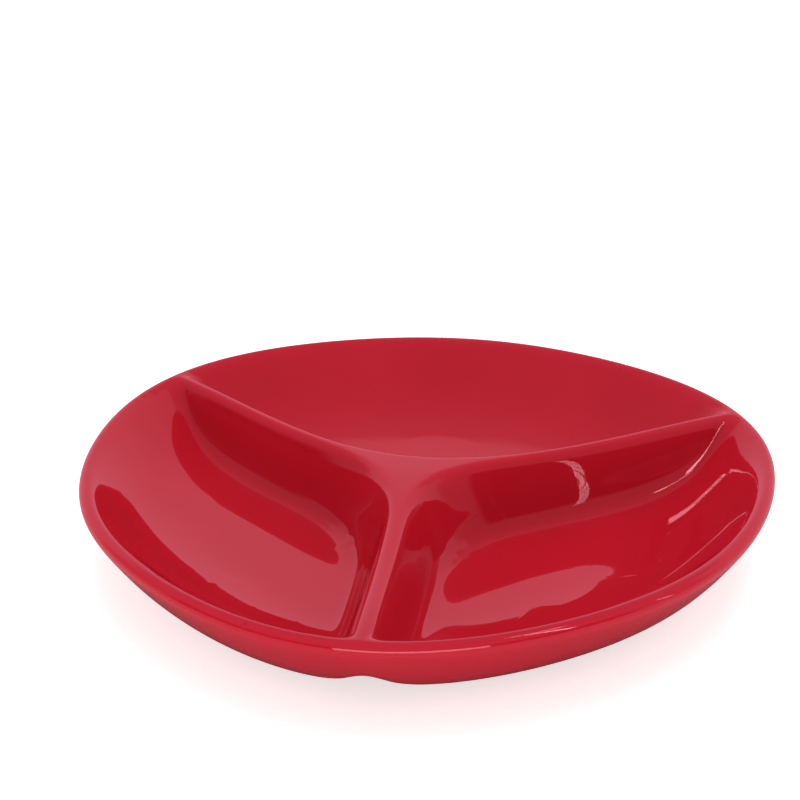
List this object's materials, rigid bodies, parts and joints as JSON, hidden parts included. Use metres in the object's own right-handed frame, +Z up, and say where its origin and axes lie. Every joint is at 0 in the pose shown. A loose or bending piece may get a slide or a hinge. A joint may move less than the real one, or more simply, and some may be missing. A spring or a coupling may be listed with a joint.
{
  "type": "divided serving bowl",
  "caption": "Glazed ceramic serving bowl with a soft three-cornered rim and a Y of rounded dividers between its wells, on low bare foot rings.",
  "frame": {"origin": "on the surface the feet stand on, under the middle of the bowl's plan", "axes": "+Z up, out of the open wells; -Y along the front divider; +X to the right, seen from the front"},
  "size_m": [0.276, 0.2784, 0.0366],
  "materials": {
    "red_glaze": "gloss",
    "bare_clay": "matte"
  },
  "bodies": {
    "root": {"back_well": "red_glaze", "left_well": "red_glaze", "right_well": "red_glaze", "back_foot": "bare_clay", "left_foot": "bare_clay", "right_foot": "bare_clay"}
  },
  "joints": []
}
